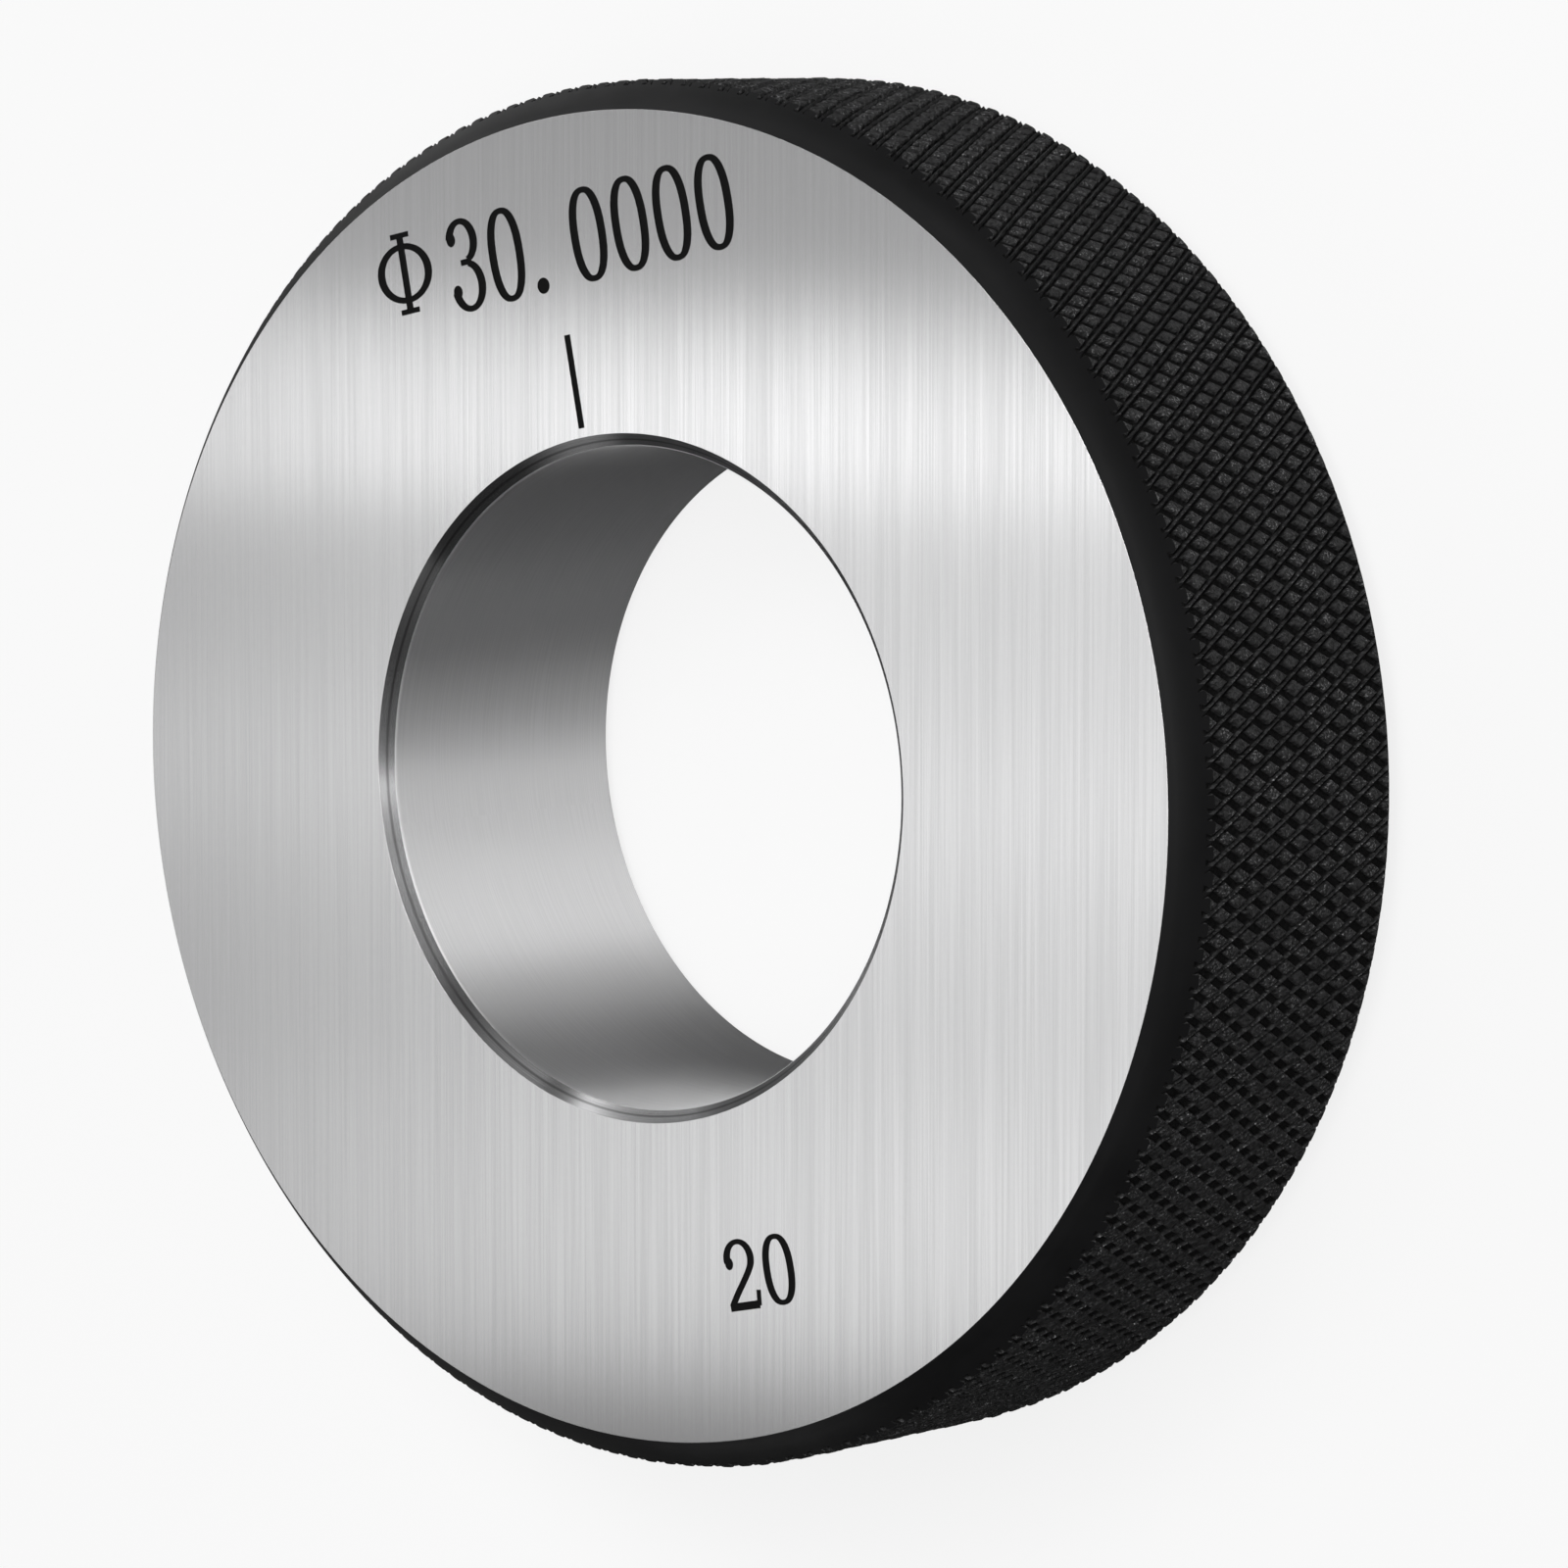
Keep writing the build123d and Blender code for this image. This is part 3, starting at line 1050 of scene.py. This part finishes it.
class RINGGAUGE_OT_set_stage(Operator):
    """Lays the floor, hangs the lights and sets the camera"""

    bl_idname = "ringgauge.set_stage"
    bl_label = "Set the stage"

    def execute(self, context):
        scene = context.scene
        stage, finish = scene.ring_stage, scene.ring_finish
        scene.view_settings.view_transform = "Standard"

        bm = bmesh.new()
        bmesh.ops.create_grid(bm, x_segments=1, y_segments=1, size=stage.floor_reach)
        pale = pale_floor(finish.floor, finish.bounce, stage.backdrop, stage.shadow)
        floor = mesh_object("floor", bm, [pale])
        scene.world = studio_world(stage)
        aim = Vector((stage.aim_x, stage.aim_y, scene.ring_blank.width / 2))
        back = direction(stage.azimuth, stage.elevation)
        place = aim + back * stage.distance
        camera = bpy.data.cameras.new("camera")
        camera.lens = stage.lens
        camera.clip_start = 10 * MM
        eye = bpy.data.objects.new("camera", camera)
        context.collection.objects.link(eye)
        level = back.to_track_quat("Z", "Y").to_matrix().to_4x4()
        roll = Matrix.Rotation(stage.roll, 4, "Z")
        eye.matrix_world = Matrix.Translation(place) @ level @ roll
        scene.camera = eye

        for name, (azimuth, elevation, distance, *spec) in SOFT_LAMPS.items():
            way = direction(radians(azimuth), radians(elevation))
            panel_lamp(name, way * distance, way, Vector((0, 0, 1)).cross(way), *spec)
        across_grain = Vector((cos(finish.grain_angle), -sin(finish.grain_angle), 0.0))
        for name, spec in FACE_LAMPS.items():
            mirrored_lamp(name, place, across_grain, scene.ring_blank.width, spec)
        return {"FINISHED"}


class RINGGAUGE_PT_panel(Panel):
    """Lists the steps that make the gauge"""

    bl_label = "Setting ring gauge"
    bl_idname = "RINGGAUGE_PT_panel"
    bl_space_type = "VIEW_3D"
    bl_region_type = "UI"
    bl_category = "Ring gauge"

    def draw(self, context):
        for operator in OPERATORS:
            self.layout.operator(operator.bl_idname)


GROUPS = {
    "ring_blank": BlankSizes,
    "ring_knurl": KnurlSizes,
    "ring_marks": MarkSizes,
    "ring_finish": FinishColours,
    "ring_stage": StageSizes,
}
OPERATORS = (
    RINGGAUGE_OT_turn_blank,
    RINGGAUGE_OT_engrave_marks,
    RINGGAUGE_OT_knurl_rim,
    RINGGAUGE_OT_finish_ring,
    RINGGAUGE_OT_set_stage,
)
CLASSES = (*GROUPS.values(), *OPERATORS, RINGGAUGE_PT_panel)


def register():
    for cls in CLASSES:
        bpy.utils.register_class(cls)
    for name, group in GROUPS.items():
        setattr(bpy.types.Scene, name, PointerProperty(type=group))


def unregister():
    for name in GROUPS:
        delattr(bpy.types.Scene, name)
    for cls in reversed(CLASSES):
        bpy.utils.unregister_class(cls)


def main():
    register()
    bpy.ops.ringgauge.turn_blank()
    bpy.ops.ringgauge.engrave_marks()
    bpy.ops.ringgauge.knurl_rim()
    bpy.ops.ringgauge.finish_ring()
    bpy.ops.ringgauge.set_stage()


if __name__ == "__main__":
    main()
